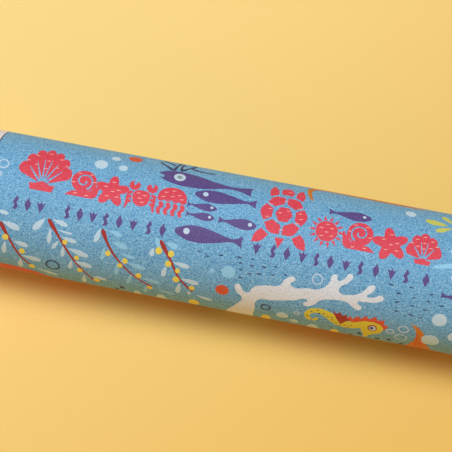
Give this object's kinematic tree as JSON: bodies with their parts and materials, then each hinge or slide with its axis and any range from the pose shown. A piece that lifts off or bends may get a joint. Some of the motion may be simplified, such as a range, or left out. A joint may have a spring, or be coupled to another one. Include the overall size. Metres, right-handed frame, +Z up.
{
  "type": "kaleidoscope",
  "caption": "Cardboard-tube kaleidoscope with a printed paper wrap, a peephole cap, long mirrors in a triangle and a turning cell of loose coloured pieces.",
  "frame": {"origin": "on the surface the tube lies on, below the middle of its length", "axes": "+X along the tube's axis towards the eyepiece, +Z up; the turning cell is at -X"},
  "size_m": [0.21, 0.05, 0.05],
  "materials": {
    "printed_paper": "matt blue paper printed in several colours",
    "pale_paper": "plain pale paper",
    "board": "spiral-wound grey-brown board",
    "black_card": "matt black card",
    "cap_plastic": "moulded white plastic",
    "clear_plastic": "clear cut sheet",
    "frosted_plastic": "frosted cut sheet",
    "mirror": "silvered strip",
    "foam": "soft grey foam",
    "red_bead": "clear coloured moulding",
    "yellow_bead": "clear coloured moulding",
    "violet_bead": "clear coloured moulding",
    "blue_bead": "clear coloured moulding",
    "green_bead": "clear coloured moulding"
  },
  "bodies": {
    "tube": {"printed_wrap": "printed_paper", "main_tube": "board", "eyepiece_cap": "cap_plastic", "eyepiece_window": "clear_plastic", "eyepiece_retaining_ring": "cap_plastic", "front_baffle": "black_card", "mirror_strip_1": "mirror", "mirror_strip_2": "mirror", "mirror_strip_3": "mirror", "mirror_card_sleeve": "black_card", "front_pad_1": "foam", "front_pad_2": "foam", "front_pad_3": "foam", "rear_pad_1": "foam", "rear_pad_2": "foam", "rear_pad_3": "foam", "bearing_collar": "board", "collar_packing_ring": "board", "collar_flange": "cap_plastic", "tube_end_window": "clear_plastic"},
    "object_cell": {"cell_cover_paper": "pale_paper", "cell_sleeve": "board", "cell_keeper_ring": "cap_plastic", "cell_seat_ring": "black_card", "cell_inner_window": "clear_plastic", "cell_spacer_ring": "board", "cell_outer_window": "frosted_plastic", "cell_end_rim": "cap_plastic"},
    "loose_pieces": {"star_bead": "red_bead", "ball_bead": "yellow_bead", "flower_bead": "violet_bead", "square_bead": "blue_bead", "bugle_bead": "green_bead", "triangle_bead": "yellow_bead", "cone_pair_bead": "red_bead", "hexagon_bead": "green_bead", "hoop_bead": "violet_bead", "drop_bead": "blue_bead", "disc_bead": "red_bead", "barrel_bead": "blue_bead"}
  },
  "joints": [
    {"name": "cell_turn", "type": "hinge", "parent": "tube", "child": "object_cell", "pos_m": [-0.0794, 0, 0.025], "axis": [1, 0, 0], "continuous": true},
    {"name": "pieces_tumble", "type": "hinge", "parent": "object_cell", "child": "loose_pieces", "pos_m": [-0.0937, 0, 0.025], "axis": [1, 0, 0], "continuous": true}
  ]
}
